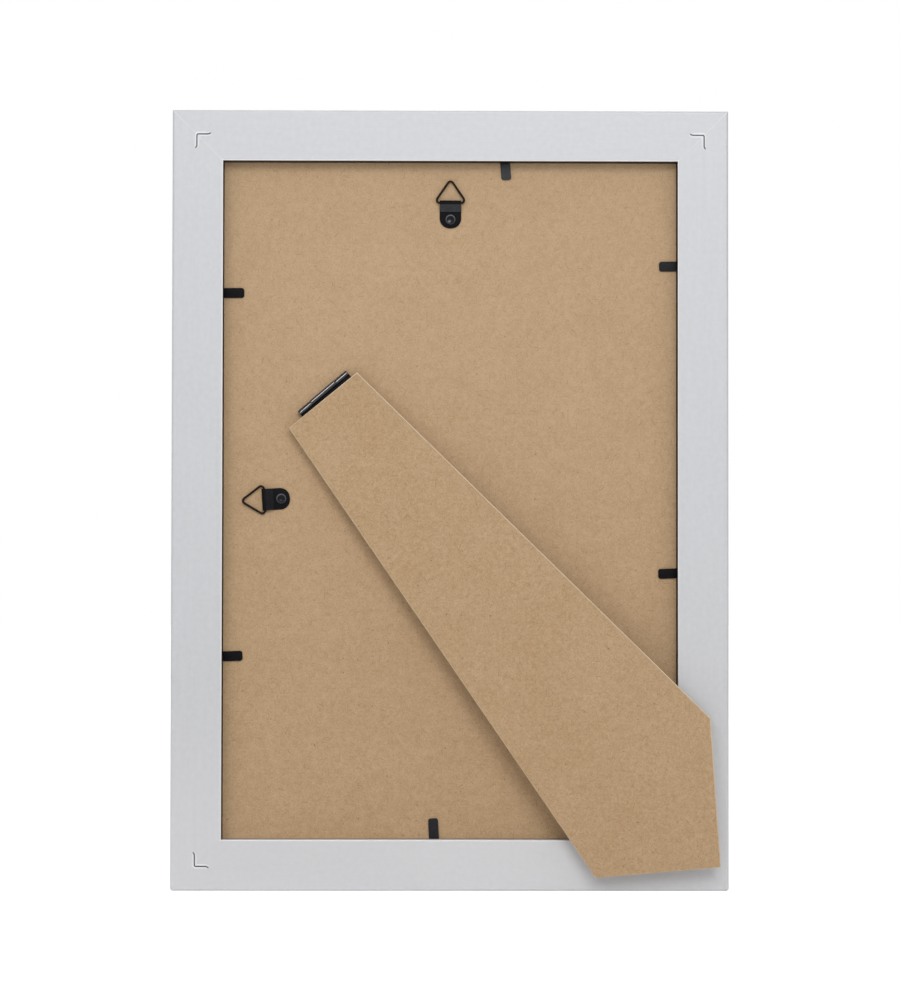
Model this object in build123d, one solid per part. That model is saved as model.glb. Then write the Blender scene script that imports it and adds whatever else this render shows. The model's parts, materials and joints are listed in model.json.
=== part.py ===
from build123d import *
import os
from math import asin, atan2, degrees, hypot, radians, sin, sqrt

# Easel-back picture frame. Millimetres, +Z up, picture side faces -Y, back faces +Y.
# The origin is the middle of the bottom rail's underside, halfway through the moulding's depth.
# The hanger side is +X. The foot side, over which the strut's foot lies, is -X.

# picture and the pack behind the lip
picture_width = 200.0
picture_height = 300.0
side_play = 1.0
end_play = 0.5
glass_thickness = 2.0
glass_edge = 0.3
insert_thickness = 0.3
board_thickness = 2.5
board_side_gap = 0.25
board_bottom_gap = 0.15
board_top_gap = 0.1

# moulding
rail_back_width = 22.5
rail_depth = 16.0
lip_width = 5.0
lip_depth = 4.5
bevel_width = 4.0
bevel_drop = 1.6
front_edge_radius = 1.5
back_edge_radius = 1.1
rebate_edge_radius = 0.4
sight_edge_radius = 0.6

# corner nails
nail_inset = 10.8
nail_leg = 4.6
nail_thickness = 0.5
nail_depth = 7.0
nail_sink = 0.2
nail_curl_radius = 2.4
nail_curl_angle = 42.0
pressed_clearance = 0.05

# flexible tabs
tab_width = 4.4
tab_thickness = 0.5
tab_corner_radius = 1.1
tab_gap = 0.15
shank_depth = 6.0
shank_proud = 0.2
bend_clearance = 0.06
tab_bend_angle = 84.0
hanger_side_upper_tab_height = 92.0
hanger_side_lower_tab_height = -69.7
foot_side_upper_tab_height = 104.4
foot_side_lower_tab_height = -32.5
top_tab_shift = -24.4
bottom_tab_shift = 6.9
hanger_side_upper_tab_tilt = 0.5
hanger_side_lower_tab_tilt = 2.0
foot_side_upper_tab_tilt = 1.5
foot_side_lower_tab_tilt = 2.2
top_tab_tilt = 4.0
bottom_tab_tilt = 3.0
hanger_side_upper_tab_reach = 9.2
hanger_side_lower_tab_reach = 8.9
foot_side_upper_tab_reach = 7.9
foot_side_lower_tab_reach = 8.3
top_tab_reach = 7.7
bottom_tab_reach = 9.1

# hangers
strap_width = 9.6
strap_thickness = 0.5
strap_reach = 11.3
strap_corner_radius = 4.4
flap_reach = 3.9
fold_gap = 0.1
wire_diameter = 1.0
ring_play = 0.1
ring_half_width = 6.05
ring_height = 9.55
ring_corner_radius = 1.3
ring_swing_angle = 150.0
rivet_from_bar = 7.45
rivet_hole_diameter = 2.9
rivet_wall = 0.35
rivet_rim_diameter = 4.6
rivet_rim_height = 0.7
rivet_rim_bevel = 0.3
rivet_clinch_diameter = 4.4
rivet_clinch_height = 0.4
top_hanger_inset = 24.5
side_hanger_inset = 24.95
side_hanger_rise = 0.9
side_hanger_tilt = 3.5

# strut
strut_thickness = 2.5
strut_top_width = 39.1
strut_top_gap = 2.46
strut_top_skew = 0.8
strut_top_shift = 0.4
pivot_from_side = 41.65
pivot_from_top = 103.95
foot_inset_side = 4.4
foot_inset_base = 11.2
side_foot_length = 65.4
side_foot_slant = 3.7
base_foot_length = 55.0
base_foot_slant = 5.0
strut_closed_clearance = 0.3
strut_spring_angle = 1.5
strut_open_angle = 32.0

# strut hinge
hinge_length = 28.0
hinge_offset = 2.75
middle_knuckle = 14.0
knuckle_gap = 0.15
leaf_thickness = 0.7
leaf_shoulder_gap = 0.25
leaf_corner_radius = 3.0
board_leaf_reach = 18.0
strut_leaf_reach = 24.0
board_knuckle_angle = 262.0
stop_angle = 45.0
stop_clearance = 0.05
pin_diameter = 1.4
pin_clearance = 0.05
prong_width = 1.6
prong_tip_width = 0.8
prong_thickness = 0.6
prong_cover = 0.7
prong_edge_inset = 4.0
prong_row_gap = 9.0

# places that follow from the sizes above
opening_width = picture_width + 2 * side_play
opening_height = picture_height + 2 * end_play
outer_width = opening_width + 2 * rail_back_width
outer_height = opening_height + 2 * rail_back_width
middle_z = outer_height / 2
front_y = -rail_depth / 2
back_y = rail_depth / 2
seat_y = front_y + lip_depth
glass_back_y = seat_y + glass_thickness
insert_back_y = glass_back_y + insert_thickness
board_back_y = insert_back_y + board_thickness
half_picture = picture_width / 2
half_opening = opening_width / 2
pack_bottom_z = rail_back_width
pack_top_z = pack_bottom_z + picture_height
pack_middle_z = pack_bottom_z + picture_height / 2


def slab(x0, x1, y0, y1, z0, z1):
    """Plain box between two corners."""
    return Pos((x0 + x1) / 2, (y0 + y1) / 2, (z0 + z1) / 2) * Box(x1 - x0, y1 - y0, z1 - z0)


def bent_sheet(start, heading, steps, thickness):
    """Outline of a bent strip. A straight step is (length,), a bend is (middle radius, left turn)."""
    sides = []
    for offset in (thickness / 2, -thickness / 2):
        direction = Vector(heading)
        point = Vector(start) + direction.rotate(Axis.Z, 90) * offset
        edges = []
        for step in steps:
            if len(step) == 1:
                edge = Line(point, point + direction * step[0])
            else:
                inward = offset if step[1] > 0 else -offset
                edge = JernArc(point, direction, step[0] - inward, step[1])
            edges.append(edge)
            point = edge @ 1
            direction = edge % 1
        sides.append(edges)
    first_end = Line(sides[0][0] @ 0, sides[1][0] @ 0)
    last_end = Line(sides[0][-1] @ 1, sides[1][-1] @ 1)
    return make_face(sides[0] + sides[1] + [first_end, last_end])


def back_place(x, y, z, along):
    """Place on the back: local X runs along the given direction, local Z leaves the back."""
    return Plane(origin=(x, y, z), x_dir=along, z_dir=(0, 1, 0)).location


# rails: one profile, drawn as depth against distance from the outer edge
sight_line = rail_back_width + lip_width
profile = make_face(
    FilletPolyline(
        (front_y, 0),
        (back_y, 0),
        (back_y, rail_back_width),
        (seat_y, rail_back_width),
        (seat_y, sight_line),
        (front_y + bevel_drop, sight_line),
        (front_y, sight_line - bevel_width),
        radius=[front_edge_radius, back_edge_radius, rebate_edge_radius, 0, 0, sight_edge_radius, 0],
        close=True,
    )
)


def rail(length, reach, turn):
    """Mitred rail of one outer length, at a distance from the middle, turned about the depth."""
    bar = extrude(Plane.YZ * profile, amount=length / 2, both=True)
    bar = split(bar, Plane(origin=(length / 2, 0, 0), z_dir=(1, 0, 1)), keep=Keep.BOTTOM)
    bar = split(bar, Plane(origin=(-length / 2, 0, 0), z_dir=(-1, 0, 1)), keep=Keep.BOTTOM)
    return Pos(0, 0, middle_z) * Rot(0, turn, 0) * Pos(0, 0, -reach) * bar


rails = {
    "rail_bottom": rail(outer_width, outer_height / 2, 0),
    "rail_top": rail(outer_width, outer_height / 2, 180),
    "rail_foot_side": rail(outer_height, outer_width / 2, 90),
    "rail_hanger_side": rail(outer_height, outer_width / 2, -90),
}


def corner_fold(clearance):
    """Outline of a nail: two legs with curled ends that meet in a fold on the mitre."""
    thickness = nail_thickness + 2 * clearance
    straight = nail_leg + nail_thickness / 2 + clearance
    curl = (nail_curl_radius, -nail_curl_angle)
    leg = bent_sheet((-thickness / 2, 0), (1, 0), [(straight,), curl], thickness)
    return leg + mirror(leg, Plane(origin=(0, 0, 0), z_dir=(1, -1, 0)))


corner_x = outer_width / 2 - nail_inset
corner_z = outer_height / 2 - nail_inset
corner_places = [
    back_place(corner_x, back_y, middle_z + corner_z, (0, 0, -1)),
    back_place(-corner_x, back_y, middle_z + corner_z, (1, 0, 0)),
    back_place(-corner_x, back_y, middle_z - corner_z, (0, 0, 1)),
    back_place(corner_x, back_y, middle_z - corner_z, (-1, 0, 0)),
]
nail = Pos(0, 0, -nail_sink) * extrude(corner_fold(0), amount=-nail_depth)
nail_slot = extrude(corner_fold(pressed_clearance), amount=-nail_sink - nail_depth - pressed_clearance)
v_nails = [place * nail for place in corner_places]
nail_slots = [place * nail_slot for place in corner_places]

# flexible tabs: local X runs from the rebate wall inward
tab_y = board_back_y + tab_gap + tab_thickness / 2
bend_line = shank_proud + bend_clearance + tab_thickness / 2


def wall_tab(x, z, inward, tilt):
    """Place of one tab at the rebate wall, turned a little in the plane of the board."""
    return back_place(x, tab_y, z, inward) * Rot(0, 0, tilt)


tab_places = {
    "tab_hanger_side_upper": wall_tab(
        half_opening,
        middle_z + hanger_side_upper_tab_height,
        (-1, 0, 0),
        hanger_side_upper_tab_tilt,
    ),
    "tab_hanger_side_lower": wall_tab(
        half_opening,
        middle_z + hanger_side_lower_tab_height,
        (-1, 0, 0),
        hanger_side_lower_tab_tilt,
    ),
    "tab_foot_side_upper": wall_tab(
        -half_opening,
        middle_z + foot_side_upper_tab_height,
        (1, 0, 0),
        foot_side_upper_tab_tilt,
    ),
    "tab_foot_side_lower": wall_tab(
        -half_opening,
        middle_z + foot_side_lower_tab_height,
        (1, 0, 0),
        foot_side_lower_tab_tilt,
    ),
    "tab_top": wall_tab(top_tab_shift, middle_z + opening_height / 2, (0, 0, -1), top_tab_tilt),
    "tab_bottom": wall_tab(bottom_tab_shift, pack_bottom_z, (0, 0, 1), bottom_tab_tilt),
}
tab_reaches = {
    "tab_hanger_side_upper": hanger_side_upper_tab_reach,
    "tab_hanger_side_lower": hanger_side_lower_tab_reach,
    "tab_foot_side_upper": foot_side_upper_tab_reach,
    "tab_foot_side_lower": foot_side_lower_tab_reach,
    "tab_top": top_tab_reach,
    "tab_bottom": bottom_tab_reach,
}


def blade(reach):
    """Flat end of a tab with a rounded nose and a round root on the bend line."""
    plan = FilletPolyline(
        (bend_line, -tab_width / 2),
        (reach, -tab_width / 2),
        (reach, tab_width / 2),
        (bend_line, tab_width / 2),
        radius=[0, tab_corner_radius, tab_corner_radius, 0],
        close=True,
    )
    root = Pos(bend_line, 0, 0) * Rot(90, 0, 0) * Cylinder(tab_thickness / 2, tab_width)
    return extrude(make_face(plan), amount=tab_thickness / 2, both=True) + root


def tab_shank(clearance):
    """Straight end of a tab inside the rail, or with a clearance the slot for it."""
    half_width = tab_width / 2 + clearance
    half_thickness = tab_thickness / 2 + clearance
    inner_end = -shank_depth - clearance
    return slab(inner_end, shank_proud, -half_width, half_width, -half_thickness, half_thickness)


tabs = {name: place * blade(tab_reaches[name]) for name, place in tab_places.items()}
tab_shanks = [place * tab_shank(0) for place in tab_places.values()]
shank_slots = [place * tab_shank(pressed_clearance) for place in tab_places.values()]
rails = {name: body - (nail_slots + shank_slots) for name, body in rails.items()}

# pack: glass and insert stand on the bottom rail's rebate wall, the larger board has play all round
glass = slab(-half_picture, half_picture, seat_y, glass_back_y, pack_bottom_z, pack_top_z)
glass = chamfer(glass.edges(), glass_edge)
insert_sheet = slab(
    -half_picture, half_picture, glass_back_y, insert_back_y, pack_bottom_z, pack_top_z
)
half_board = half_opening - board_side_gap
board_bottom_z = pack_bottom_z + board_bottom_gap
board_top_z = pack_bottom_z + opening_height - board_top_gap
back_board = slab(-half_board, half_board, insert_back_y, board_back_y, board_bottom_z, board_top_z)

# hangers: local X runs from the rivet to the ring, with the ring's bar over the origin
loop_bore_radius = wire_diameter / 2 + ring_play
loop_radius = loop_bore_radius + strap_thickness / 2
bar_height = loop_bore_radius + strap_thickness
fold_height = bar_height - strap_thickness - fold_gap
fold_distance = hypot(flap_reach, fold_height)
fold_turn = degrees(asin(loop_bore_radius / fold_distance) + atan2(fold_height, flap_reach))
flap_length = sqrt(fold_distance**2 - loop_bore_radius**2)
strap_profile = bent_sheet(
    (-strap_reach, strap_thickness / 2),
    (1, 0),
    [(strap_reach,), (loop_radius, 180 + fold_turn), (flap_length,)],
    strap_thickness,
)
strap_plan = make_face(
    FilletPolyline(
        (-strap_reach, -strap_width / 2),
        (bar_height, -strap_width / 2),
        (bar_height, strap_width / 2),
        (-strap_reach, strap_width / 2),
        radius=[strap_corner_radius, 0, 0, strap_corner_radius],
        close=True,
    )
)
rivet_outer_radius = rivet_hole_diameter / 2 + rivet_wall
rivet_hole = Pos(-rivet_from_bar, 0, 0) * Cylinder(
    rivet_outer_radius + pressed_clearance, 2 * (board_thickness + strap_thickness)
)
clinch_pocket = Pos(-rivet_from_bar, 0, -board_thickness) * Cylinder(
    rivet_clinch_diameter / 2 + pressed_clearance, 2 * (rivet_clinch_height + pressed_clearance)
)
strap = extrude(Plane.XZ * strap_profile, amount=strap_width / 2, both=True)
strap = strap & extrude(strap_plan, amount=2 * bar_height)
strap = strap - rivet_hole

# triangle ring: round wire bent along a rounded triangle
ring_corner_y = ring_half_width - ring_corner_radius
ring_path = Wire.make_polygon(
    [
        (ring_corner_radius, -ring_corner_y),
        (ring_corner_radius, ring_corner_y),
        (ring_height - ring_corner_radius, 0),
    ],
    close=True,
).offset_2d(ring_corner_radius)
ring_section = Plane(origin=ring_path @ 0, z_dir=ring_path % 0) * Circle(wire_diameter / 2)
ring = Pos(0, 0, bar_height) * sweep(ring_section, path=ring_path)

# hollow rivet: rolled rim on the strap, barrel through the board, clinched end on the far side
rim_top = strap_thickness + rivet_rim_height
clinch_top = rivet_clinch_height - board_thickness
rivet_bore_radius = rivet_hole_diameter / 2
rivet_rim_radius = rivet_rim_diameter / 2
rivet_clinch_radius = rivet_clinch_diameter / 2
rivet_profile = make_face(
    Polyline(
        (rivet_bore_radius, -board_thickness),
        (rivet_clinch_radius, -board_thickness),
        (rivet_clinch_radius, clinch_top),
        (rivet_outer_radius, clinch_top),
        (rivet_outer_radius, strap_thickness),
        (rivet_rim_radius, strap_thickness),
        (rivet_rim_radius, rim_top - rivet_rim_bevel),
        (rivet_rim_radius - rivet_rim_bevel, rim_top),
        (rivet_bore_radius + rivet_rim_bevel, rim_top),
        (rivet_bore_radius, rim_top - rivet_rim_bevel),
        close=True,
    )
)
rivet = Pos(-rivet_from_bar, 0, 0) * revolve(Plane.XZ * rivet_profile, Axis.Z)

top_rivet_z = pack_top_z - top_hanger_inset
side_rivet_x = half_picture - side_hanger_inset
to_bar = Pos(rivet_from_bar, 0, 0)
hanger_top_place = back_place(0, board_back_y, top_rivet_z, (0, 0, 1)) * to_bar
side_rivet_z = pack_middle_z + side_hanger_rise
hanger_side_place = (
    back_place(side_rivet_x, board_back_y, side_rivet_z, (1, 0, 0)) * Rot(0, 0, side_hanger_tilt) * to_bar
)
for place in (hanger_top_place, hanger_side_place):
    back_board = back_board - place * rivet_hole - place * clinch_pocket

# strut: local X runs from the hinge to the foot's corner, local Y along the hinge
knuckle_inner_radius = pin_diameter / 2 + pin_clearance
knuckle_middle_radius = knuckle_inner_radius + leaf_thickness / 2
knuckle_radius = knuckle_inner_radius + leaf_thickness
pivot = Vector(half_picture - pivot_from_side, board_back_y, pack_top_z - pivot_from_top)
foot = Vector(foot_inset_side - outer_width / 2, board_back_y, foot_inset_base)
side_foot = foot + Vector(0, 0, side_foot_length).rotate(Axis.Y, side_foot_slant)
base_foot = foot + Vector(base_foot_length, 0, 0).rotate(Axis.Y, base_foot_slant)
strut_plane = Plane(origin=pivot, x_dir=foot - pivot, z_dir=(0, 1, 0))
foot_reach = strut_plane.to_local_coords(foot)
side_reach = strut_plane.to_local_coords(side_foot)
base_reach = strut_plane.to_local_coords(base_foot)
side_top = Vector(strut_top_gap + strut_top_skew / 2, strut_top_shift + strut_top_width / 2, 0)
base_top = Vector(strut_top_gap - strut_top_skew / 2, strut_top_shift - strut_top_width / 2, 0)


def reach_at(top, shoulder, level, measure):
    """Distance from the hinge at which one long side of the strut passes over a rail's inner edge."""
    start = measure(strut_plane.from_local_coords(top))
    end = measure(strut_plane.from_local_coords(shoulder))
    share = min(max((level - start) / (end - start), 0.0), 1.0)
    return (top + (shoulder - top) * share).X


# closed, the strut lies just clear of the rails that it crosses; let go, it springs open a little
side_crossing = reach_at(side_top, side_reach, -half_opening, lambda point: point.X)
base_crossing = reach_at(base_top, base_reach, rail_back_width, lambda point: point.Z)
rail_rise = back_y - board_back_y - knuckle_radius
strut_rise = rail_rise + strut_closed_clearance - knuckle_radius
strut_closed_angle = degrees(asin(strut_rise / min(side_crossing, base_crossing)))
strut_rest_angle = strut_closed_angle + strut_spring_angle

hinge_place = strut_plane.location * Pos(0, 0, knuckle_radius)
strut_place = hinge_place * Rot(0, -strut_rest_angle, 0)
strut_plan = make_face(
    Polyline(
        (side_top.X, side_top.Y),
        (side_reach.X, side_reach.Y),
        (foot_reach.X, foot_reach.Y),
        (base_reach.X, base_reach.Y),
        (base_top.X, base_top.Y),
        close=True,
    )
)
strut = Pos(0, 0, knuckle_radius) * extrude(strut_plan, amount=strut_thickness)


def prongs(far_row, length, clearance):
    """Four tapered prongs in two rows that leave a leaf along local Z."""
    root = prong_width / 2 + clearance
    tip = prong_tip_width / 2 + clearance
    end = length + clearance
    outline = make_face(Polyline((-root, 0), (root, 0), (tip, end), (-tip, end), close=True))
    prong = extrude(Plane.YZ * outline, amount=prong_thickness / 2 + clearance, both=True)
    across = hinge_length / 2 - prong_edge_inset
    rows = (far_row - prong_row_gap, far_row)
    return [Pos(x, y, 0) * prong for x in rows for y in (-across, across)]


# hinge leaves: sheet rolled round the pin, the strut's leaf in the middle, the board's at both ends
half_middle = middle_knuckle / 2
leaf_shoulder = knuckle_radius + leaf_shoulder_gap
notch_edge = knuckle_radius * sin(radians(stop_angle)) + stop_clearance
strut_knuckle_angle = 180 + stop_angle - strut_open_angle - strut_closed_angle

board_leaf_profile = bent_sheet(
    (board_leaf_reach, -knuckle_middle_radius),
    (-1, 0),
    [(board_leaf_reach,), (knuckle_middle_radius, -board_knuckle_angle)],
    leaf_thickness,
)
strut_leaf_profile = bent_sheet(
    (strut_leaf_reach, knuckle_middle_radius),
    (-1, 0),
    [(strut_leaf_reach,), (knuckle_middle_radius, strut_knuckle_angle)],
    leaf_thickness,
)


def leaf(leaf_profile):
    """Rolled leaf over the whole hinge with two rounded corners at its far edge."""
    sheet = extrude(Plane.XZ * leaf_profile, amount=hinge_length / 2, both=True)
    far_edges = sheet.edges().filter_by(Axis.Z).group_by(Axis.X)[-1]
    return fillet(far_edges, leaf_corner_radius)


below = -2 * knuckle_radius
above = 2 * knuckle_radius
half_notch = half_middle + knuckle_gap
notch = slab(below, notch_edge, -half_notch, half_notch, below, above)
roll_cut = slab(below, leaf_shoulder, -half_notch, half_notch, -knuckle_inner_radius, above)
strut_side_cut = slab(below, leaf_shoulder, half_middle, hinge_length, below, above)
strut_base_cut = slab(below, leaf_shoulder, -hinge_length, -half_middle, below, above)

to_hinge = Pos(0, hinge_offset, 0)
under_strut = to_hinge * Pos(0, 0, knuckle_radius)
on_board = to_hinge * Pos(0, 0, -knuckle_radius) * Rot(180, 0, 0)
board_prong_row = board_leaf_reach - prong_edge_inset
strut_prong_row = strut_leaf_reach - prong_edge_inset
board_prong_length = board_thickness - prong_cover
strut_prong_length = strut_thickness - prong_cover

board_prongs = [on_board * prong for prong in prongs(board_prong_row, board_prong_length, 0)]
hinge_board_leaf = to_hinge * (leaf(board_leaf_profile) - notch - roll_cut) + board_prongs
for pocket in prongs(board_prong_row, board_prong_length, pressed_clearance):
    back_board = back_board - hinge_place * on_board * pocket

strut_prongs = [under_strut * prong for prong in prongs(strut_prong_row, strut_prong_length, 0)]
strut_leaf_sheet = leaf(strut_leaf_profile) - strut_side_cut - strut_base_cut
hinge_strut_leaf = to_hinge * strut_leaf_sheet + strut_prongs
for pocket in prongs(strut_prong_row, strut_prong_length, pressed_clearance):
    strut = strut - under_strut * pocket

hinge_pin = to_hinge * Rot(90, 0, 0) * Cylinder(pin_diameter / 2, hinge_length)

nodes = {
    **rails,
    **tabs,
    "v_nails": Compound(children=v_nails),
    "tab_shanks": Compound(children=tab_shanks),
    "glass": glass,
    "insert_sheet": insert_sheet,
    "back_board": back_board,
    "hanger_top_strap": hanger_top_place * strap,
    "hanger_top_ring": hanger_top_place * ring,
    "hanger_top_rivet": hanger_top_place * rivet,
    "hanger_side_strap": hanger_side_place * strap,
    "hanger_side_ring": hanger_side_place * ring,
    "hanger_side_rivet": hanger_side_place * rivet,
    "strut": strut_place * strut,
    "hinge_strut_leaf": strut_place * hinge_strut_leaf,
    "hinge_board_leaf": hinge_place * hinge_board_leaf,
    "hinge_pin": hinge_place * hinge_pin,
}
os.makedirs("parts", exist_ok=True)
for name, shape in nodes.items():
    export_step(shape, f"parts/{name}.step")
    print(name, round(shape.volume, 2))
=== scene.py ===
# %% [markdown]
# # An easel-back picture frame, seen from behind
#
# The solids of this frame were built in a construction program and come in as a fixed frame. This
# lesson gives them their looks: fine surfaces over the solids where a solid is too plain, a finish
# for every piece, a floor, soft light and a camera. All lengths below are millimetres until a mesh
# is made, because a frame maker thinks in millimetres. Blender itself gets metres.

# %% The fixed frame
import json
import bpy
import numpy as np
from mathutils import Matrix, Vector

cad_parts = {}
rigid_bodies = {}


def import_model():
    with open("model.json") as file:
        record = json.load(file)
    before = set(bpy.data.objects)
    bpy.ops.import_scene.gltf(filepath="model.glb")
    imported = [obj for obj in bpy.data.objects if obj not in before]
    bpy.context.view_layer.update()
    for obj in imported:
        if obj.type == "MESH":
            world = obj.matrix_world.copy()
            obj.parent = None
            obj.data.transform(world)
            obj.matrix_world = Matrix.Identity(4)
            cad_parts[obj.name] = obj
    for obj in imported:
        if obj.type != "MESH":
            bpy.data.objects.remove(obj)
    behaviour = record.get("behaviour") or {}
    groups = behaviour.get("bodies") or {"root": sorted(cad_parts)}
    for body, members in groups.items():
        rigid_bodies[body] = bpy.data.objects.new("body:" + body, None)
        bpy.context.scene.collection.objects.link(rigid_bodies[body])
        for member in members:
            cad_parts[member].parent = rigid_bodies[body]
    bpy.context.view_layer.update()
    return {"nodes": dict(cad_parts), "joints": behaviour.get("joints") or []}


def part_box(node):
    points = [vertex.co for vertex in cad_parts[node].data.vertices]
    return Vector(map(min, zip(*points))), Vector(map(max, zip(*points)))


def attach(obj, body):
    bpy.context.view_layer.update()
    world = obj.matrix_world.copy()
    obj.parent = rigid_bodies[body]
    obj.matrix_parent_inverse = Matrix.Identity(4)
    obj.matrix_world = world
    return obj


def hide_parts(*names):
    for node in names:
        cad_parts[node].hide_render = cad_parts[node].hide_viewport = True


for leftover in list(bpy.data.objects):
    bpy.data.objects.remove(leftover)
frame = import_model()
mm = 0.001
side = np.array([1.0, 0.0, 0.0])
back = np.array([0.0, 1.0, 0.0])
up = np.array([0.0, 0.0, 1.0])

# %% [markdown]
# ## Two ways of reading the frame
#
# A node's box says where a piece sits, and a joint says where it turns. Both come from the packed
# frame, so the pieces below follow the solids when a size changes, and no place is written twice.


# %% Boxes and turning places
def node_box(name):
    """Lowest and highest corner of a node, in millimetres."""
    low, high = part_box(name)
    return np.array(low) / mm, np.array(high) / mm


def node_points(name):
    """Corners of a node's solid, each once, in millimetres."""
    mesh = frame["nodes"][name].data
    places = np.empty(len(mesh.vertices) * 3)
    mesh.vertices.foreach_get("co", places)
    return np.unique(np.round(places.reshape(-1, 3) / mm, 4), axis=0)


def turning_place(child):
    """Middle of a joint, its axis, and the direction square to both the axis and the back."""
    joint = next(row for row in frame["joints"] if row["child"] == child)
    axis = np.array(joint["axis"])
    return np.array(joint["pos_m"]) / mm, axis, np.cross(back, axis)


low, high = node_box("rail_bottom")
outer_width = high[0] - low[0]
front_y = low[1]
back_y = high[1]
outer_height = node_box("rail_top")[1][2]
board_y = node_box("back_board")[1][1]
rail_width = node_box("glass")[0][2]
print("outside", round(outer_width, 2), "by", round(outer_height, 2), "rails", round(rail_width, 2))

# %% [markdown]
# ## From a grid of points to a piece
#
# Every new surface here is a grid: rows along the piece, columns round it. Building such a mesh by
# hand with the knife and extrude tools would work too, but a grid is quick to compute as one array
# and easy to change.


# %% Faces and pieces
sharp_angle = np.radians(38)


def grid_faces(rows, columns, closed_rows=False):
    """Four-cornered faces of a grid whose columns close into a ring, and its rows too if asked."""
    row = np.arange(rows if closed_rows else rows - 1)[:, None]
    column = np.arange(columns)[None, :]
    next_row = (row + 1) % rows
    next_column = (column + 1) % columns
    corners = np.broadcast_arrays(
        row * columns + column,
        next_row * columns + column,
        next_row * columns + next_column,
        row * columns + next_column,
    )
    faces = np.stack(corners, axis=-1).reshape(-1, 4).tolist()
    if not closed_rows:
        faces.append(list(range(columns)))
        faces.append(list(range((rows - 1) * columns, rows * columns)))
    return faces


def join_grids(grids, closed_rows=False):
    """One list of points and one of faces from several grids of the same kind."""
    points = []
    faces = []
    for grid in grids:
        start = sum(len(block) for block in points)
        rows, columns = grid.shape[:2]
        points.append(grid.reshape(-1, 3))
        own_faces = grid_faces(rows, columns, closed_rows)
        faces += [[corner + start for corner in face] for face in own_faces]
    return np.concatenate(points), faces


def make_piece(name, grids, finish, body, stands_for=(), closed_rows=False, maps=None):
    """Mesh object from grids in millimetres, with smooth faces and sharp corners kept."""
    points, faces = join_grids(grids, closed_rows)
    mesh = bpy.data.meshes.new(name)
    mesh.from_pydata((points * mm).tolist(), [], faces)
    for label, values in (maps or {}).items():
        layer = mesh.attributes.new(label, "FLOAT2" if values.shape[-1] == 2 else "FLOAT", "POINT")
        field = "vector" if values.shape[-1] == 2 else "value"
        layer.data.foreach_set(field, np.ascontiguousarray(values, dtype=np.float32).ravel())
    mesh.polygons.foreach_set("use_smooth", np.ones(len(mesh.polygons), dtype=bool))
    mesh.set_sharp_from_angle(angle=sharp_angle)
    mesh.materials.append(finish)
    piece = bpy.data.objects.new(name, mesh)
    bpy.context.collection.objects.link(piece)
    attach(piece, body)
    if stands_for:
        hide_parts(*stands_for)
    print(name, len(points), "points", len(faces), "faces")
    return piece


def outward(grid):
    """The same grid with its columns in the order that turns the faces outwards."""
    rows = grid.shape[0]
    middle = grid[rows // 2].mean(axis=0)
    along = grid[min(rows // 2 + 1, rows - 1)].mean(axis=0) - grid[rows // 2 - 1].mean(axis=0)
    spokes = grid[rows // 2] - middle
    turn = np.cross(spokes, np.roll(spokes, -1, axis=0)).sum(axis=0) @ along
    return grid if turn < 0 else grid[:, ::-1]


print("grid helpers ready")

# %% [markdown]
# ## Shader maths as plain expressions
#
# A material in Blender is a graph of nodes. Wiring it by hand for every noise and mask is slow to
# read, so a small class wraps one socket: adding or multiplying two of them drops in a Math node.
# One method adds any other node. Only colour, roughness and bump vary over a surface. Everything
# that is the same all over is set straight on the shader.


# %% The socket class
class Tone:
    """One socket of a material. Arithmetic adds Math nodes, and node() adds any other node."""

    def __init__(self, socket):
        self.socket = socket
        self.tree = socket.id_data

    def node(self, kind, settings, sockets, output=0):
        """Add a node: its settings first, then its sockets as values or links."""
        made = self.tree.nodes.new("ShaderNode" + kind)
        for key, value in settings.items():
            setattr(made, key, value)
        for key, value in sockets.items():
            if isinstance(value, Tone):
                self.tree.links.new(value.socket, made.inputs[key])
            else:
                made.inputs[key].default_value = value
        return Tone(made.outputs[output])

    def math(self, operation, first, second):
        return self.node("Math", {"operation": operation}, {0: first, 1: second})

    def __add__(self, other):
        return self.math("ADD", self, other)

    def __radd__(self, other):
        return self.math("ADD", other, self)

    def __sub__(self, other):
        return self.math("SUBTRACT", self, other)

    def __rsub__(self, other):
        return self.math("SUBTRACT", other, self)

    def __mul__(self, other):
        return self.math("MULTIPLY", self, other)

    def __rmul__(self, other):
        return self.math("MULTIPLY", other, self)

    def step(self, start, end):
        """Soft step: 0 before start, 1 after end, in either order."""
        sockets = {"Value": self, "From Min": start, "From Max": end}
        return self.node("MapRange", {"interpolation_type": "SMOOTHSTEP"}, sockets)

    def noise(self, scale, detail=2.0, stretch=(1, 1, 1)):
        """Noise between about 0 and 1 at so many waves per metre, stretched along the axes."""
        spread = self.node("VectorMath", {"operation": "MULTIPLY"}, {0: self, 1: stretch})
        return self.node("TexNoise", {}, {"Vector": spread, "Scale": scale, "Detail": detail})

    def blend(self, first, second):
        """Colour between two colours, by this value."""
        settings = {"data_type": "RGBA"}
        return self.node("Mix", settings, {"Factor": self, 6: first, 7: second}, output=2)

    def bump(self, height, strength=1.0):
        """Surface direction from this value as a height in metres."""
        return self.node("Bump", {}, {"Height": self, "Distance": height, "Strength": strength})


def srgb(red, green, blue):
    """Colour as on a screen, 0 to 255, turned into the linear numbers that a shader uses."""
    screen = np.array([red, green, blue]) / 255
    linear = np.where(screen <= 0.04045, screen / 12.92, ((screen + 0.055) / 1.055) ** 2.4)
    return (*linear.tolist(), 1.0)


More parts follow.
